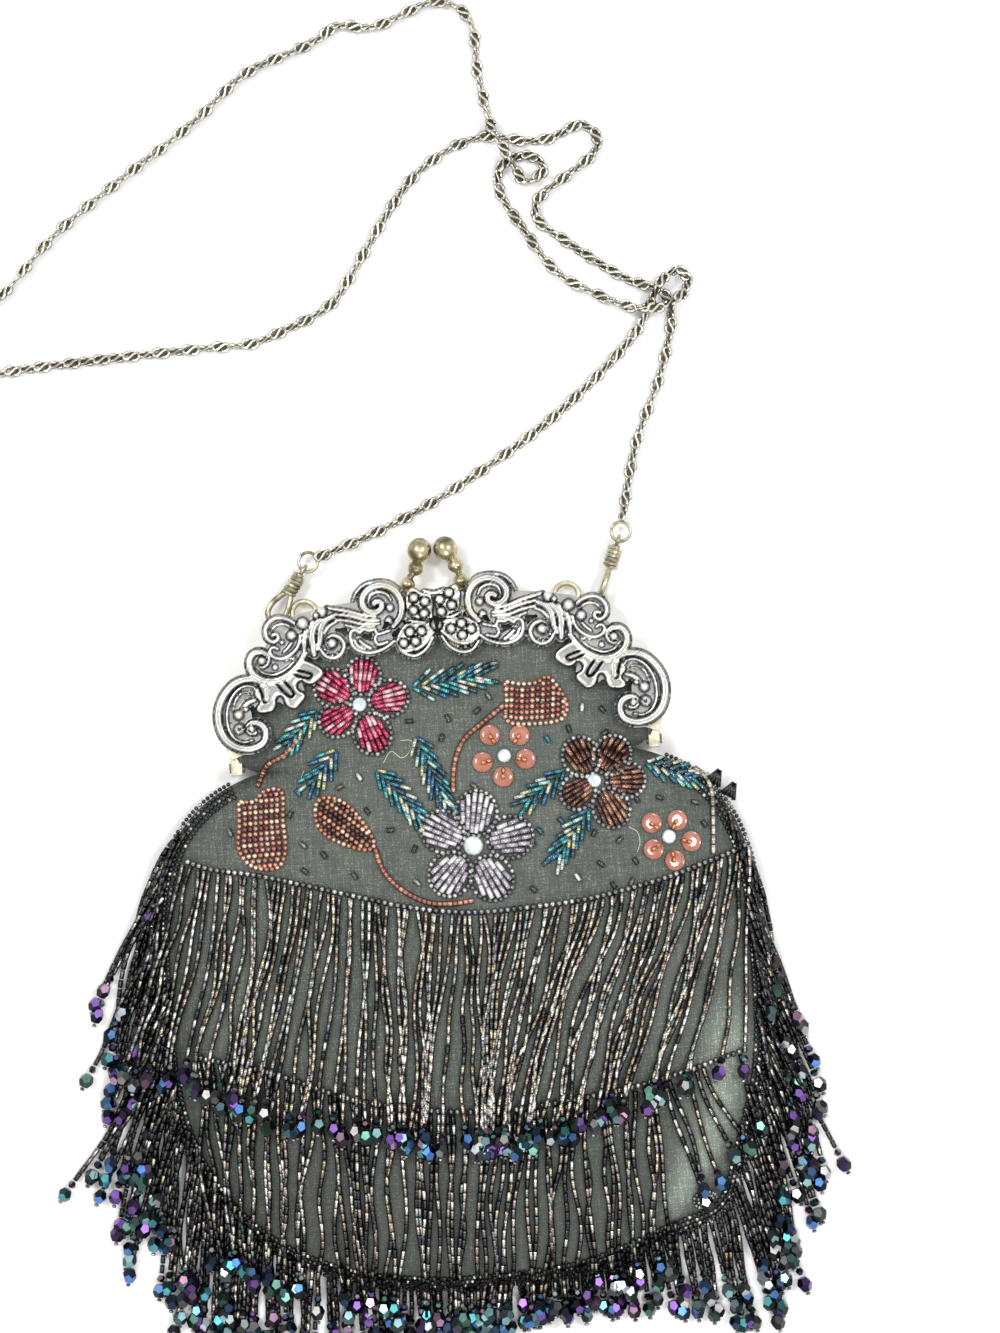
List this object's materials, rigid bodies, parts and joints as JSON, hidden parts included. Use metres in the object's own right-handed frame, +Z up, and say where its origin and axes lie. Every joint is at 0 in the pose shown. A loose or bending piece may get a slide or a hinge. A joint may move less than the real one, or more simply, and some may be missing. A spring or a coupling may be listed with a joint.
{
  "type": "beaded evening handbag",
  "caption": "Silk evening handbag on a hinged scrollwork frame with a kiss clasp, bead embroidery, rows of bugle-bead fringe and a long S-link shoulder chain, lying on its back",
  "frame": {"origin": "on the floor, under the flat back of the pouch, on the bag's middle line", "axes": "+Z up from the floor through the front of the bag, +Y from the pouch's foot toward the clasp, +X to the right as seen from above"},
  "size_m": [0.271, 0.4091, 0.0268],
  "materials": {
    "silk": "slubby grey-green silk",
    "frame_brass": "aged pale brass",
    "cast_silver": "antiqued silver with dark recesses",
    "clasp_brass": "aged polished brass",
    "chain_metal": "antiqued brass",
    "beads": "dark lustre glass",
    "stones": "clear cut glass"
  },
  "bodies": {
    "root": {"pouch_front": "silk", "pouch_back": "silk", "frame_front": "frame_brass", "frame_back": "frame_brass", "scrollwork": "cast_silver", "hinge_pin_left": "frame_brass", "hinge_pin_right": "frame_brass", "clasp_knob_front": "clasp_brass", "clasp_knob_back": "clasp_brass", "hook_left": "chain_metal", "hook_right": "chain_metal", "jump_ring_left": "chain_metal", "jump_ring_right": "chain_metal", "chain_start": "chain_metal", "chain_return": "chain_metal", "fringe_upper": "beads", "fringe_lower": "beads", "fringe_edge": "beads", "stone_pink": "stones", "stone_coral_upper": "stones", "stone_brown": "stones", "stone_coral_lower": "stones", "stone_lilac": "stones"}
  },
  "joints": []
}
